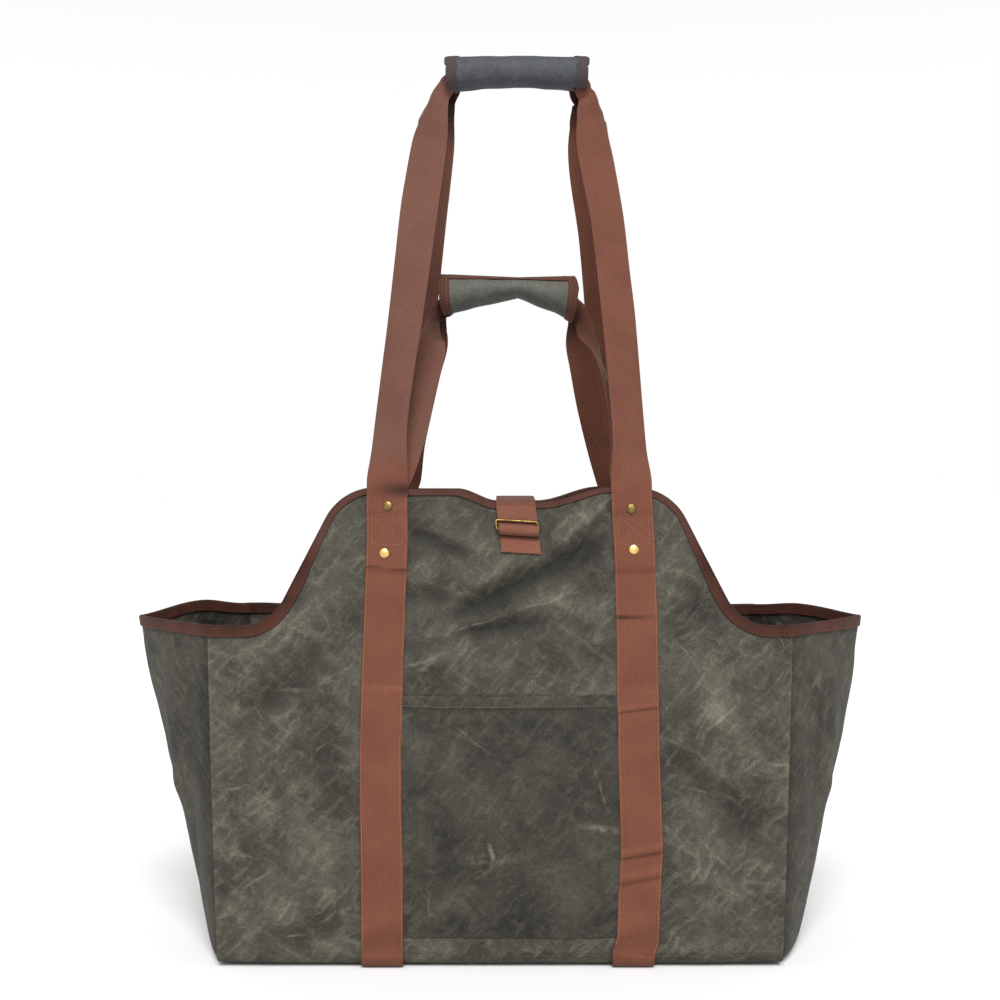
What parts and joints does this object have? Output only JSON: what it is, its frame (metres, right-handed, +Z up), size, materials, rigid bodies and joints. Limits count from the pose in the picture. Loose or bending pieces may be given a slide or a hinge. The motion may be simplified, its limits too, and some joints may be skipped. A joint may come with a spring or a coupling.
{
  "type": "log carrier",
  "caption": "Waxed-canvas log carrier with closed ends, brown webbing handles in two lengths, padded grips, brass rivets and a strap across the mouth.",
  "frame": {"origin": "under the middle of the base, at floor level", "axes": "+Z up, +X along the bag to the viewer's right, front with the pocket towards -Y"},
  "size_m": [0.7012, 0.2624, 0.8426],
  "materials": {
    "canvas": "waxed, dark olive",
    "webbing": "ribbed, red-brown",
    "tape": "matt, dark brown",
    "brass": "satin"
  },
  "bodies": {
    "root": {"front_panel": "canvas", "back_panel": "canvas", "base_panel": "canvas", "gusset_left": "canvas", "gusset_right": "canvas", "pocket": "canvas", "rim_binding_front": "tape", "rim_binding_back": "tape", "rim_binding_left": "tape", "rim_binding_right": "tape", "long_strap_front": "webbing", "long_strap_back": "webbing", "short_strap_front": "webbing", "short_strap_back": "webbing", "grip_upper": "canvas", "grip_lower": "canvas", "grip_upper_tape_left": "tape", "grip_upper_tape_right": "tape", "grip_lower_tape_left": "tape", "grip_lower_tape_right": "tape", "grip_lower_edge_tape": "tape", "closure_strap": "webbing", "buckle_tab": "webbing", "slide_buckle": "brass", "rivet_front_left_lower": "brass", "rivet_front_left_upper": "brass", "rivet_front_right_lower": "brass", "rivet_front_right_upper": "brass", "rivet_back_left_lower": "brass", "rivet_back_left_upper": "brass", "rivet_back_right_lower": "brass", "rivet_back_right_upper": "brass"}
  },
  "joints": []
}
